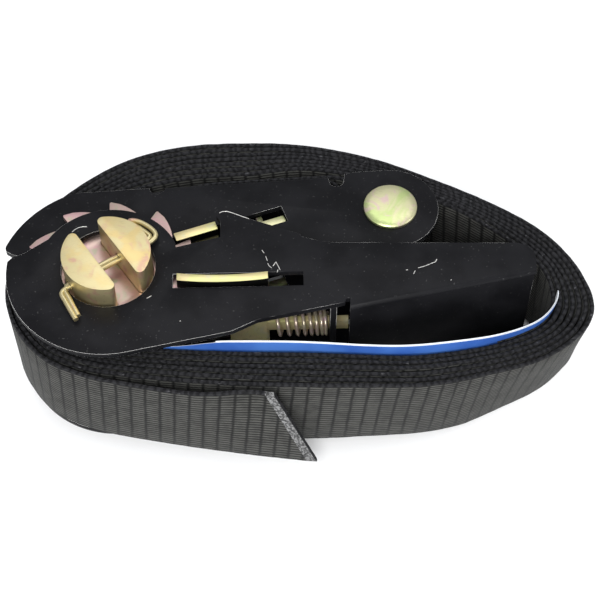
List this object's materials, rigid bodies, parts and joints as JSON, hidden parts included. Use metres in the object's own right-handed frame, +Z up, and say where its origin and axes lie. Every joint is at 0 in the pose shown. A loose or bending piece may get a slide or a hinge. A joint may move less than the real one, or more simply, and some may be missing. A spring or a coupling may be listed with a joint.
{
  "type": "ratchet tie down",
  "caption": "Hand ratchet with sprung pawls and a slotted spindle, wound round with its own 25 mm black webbing strap.",
  "frame": {"origin": "middle of the whole outline at the level of the surface the part lies on", "axes": "+X from the spindle towards the handle tip, +Y from the grip side to the back of the base frame, +Z up along the spindle axis"},
  "size_m": [0.1396, 0.0761, 0.0448],
  "materials": {
    "black_paint": "semi-gloss black paint on pressed steel, worn bright at the cut edges",
    "yellow_zinc": "yellow-passivated zinc plate with a rose and green cast",
    "green_zinc": "zinc plate with a yellow-green passivate",
    "pink_zinc": "zinc plate with a rose passivate",
    "spring_steel": "plated spring wire",
    "webbing": "black woven polyester webbing",
    "thread": "polyester sewing thread",
    "label_film": "blue coated label film with a white back, nothing printed"
  },
  "bodies": {
    "frame": {"base_frame": "black_paint", "anchor_rivet": "green_zinc", "anchor_sleeve": "yellow_zinc", "locking_spring_seat": "green_zinc", "locking_pawl_spring": "spring_steel", "strap_anchor_loop": "webbing", "strap_inner_turn": "webbing", "strap_outer_turns": "webbing", "strap_tail": "webbing", "strap_stitching": "thread", "label": "label_film", "label_stitching": "thread"},
    "handle": {"handle_frame": "black_paint", "drive_spring_seat": "black_paint", "drive_pawl_spring": "spring_steel"},
    "spindle": {"ratchet_wheel_upper": "pink_zinc", "ratchet_wheel_lower": "pink_zinc", "spindle_half_left": "yellow_zinc", "spindle_half_right": "yellow_zinc", "split_pin": "yellow_zinc"},
    "drive_pawl": {"drive_pawl": "green_zinc"},
    "locking_pawl": {"locking_pawl": "green_zinc"}
  },
  "joints": [
    {"name": "handle_swing", "type": "hinge", "parent": "frame", "child": "handle", "pos_m": [-0.04447, -0.00445, 0.0204], "axis": [0, 0, -1], "range_deg": [0, 180], "deforming": ["strap_inner_turn", "strap_outer_turns", "strap_tail", "label", "label_stitching"]},
    {"name": "spindle_turn", "type": "hinge", "parent": "frame", "child": "spindle", "pos_m": [-0.04447, -0.00445, 0.0204], "axis": [0, 0, -1], "range_deg": [0, 916.36]},
    {"name": "drive_pawl_slide", "type": "slide", "parent": "handle", "child": "drive_pawl", "axis": [0.9997, 0.0262, 0], "range_m": [-0.0009, 0.0055], "stiffness_N_per_m": 1000, "springref_m": -0.006, "deforming": ["drive_pawl_spring"]},
    {"name": "locking_pawl_slide", "type": "slide", "parent": "frame", "child": "locking_pawl", "axis": [0.9373, 0.3486, 0], "range_m": [-0.002, 0.003], "stiffness_N_per_m": 1000, "springref_m": -0.006, "deforming": ["locking_pawl_spring"]}
  ]
}
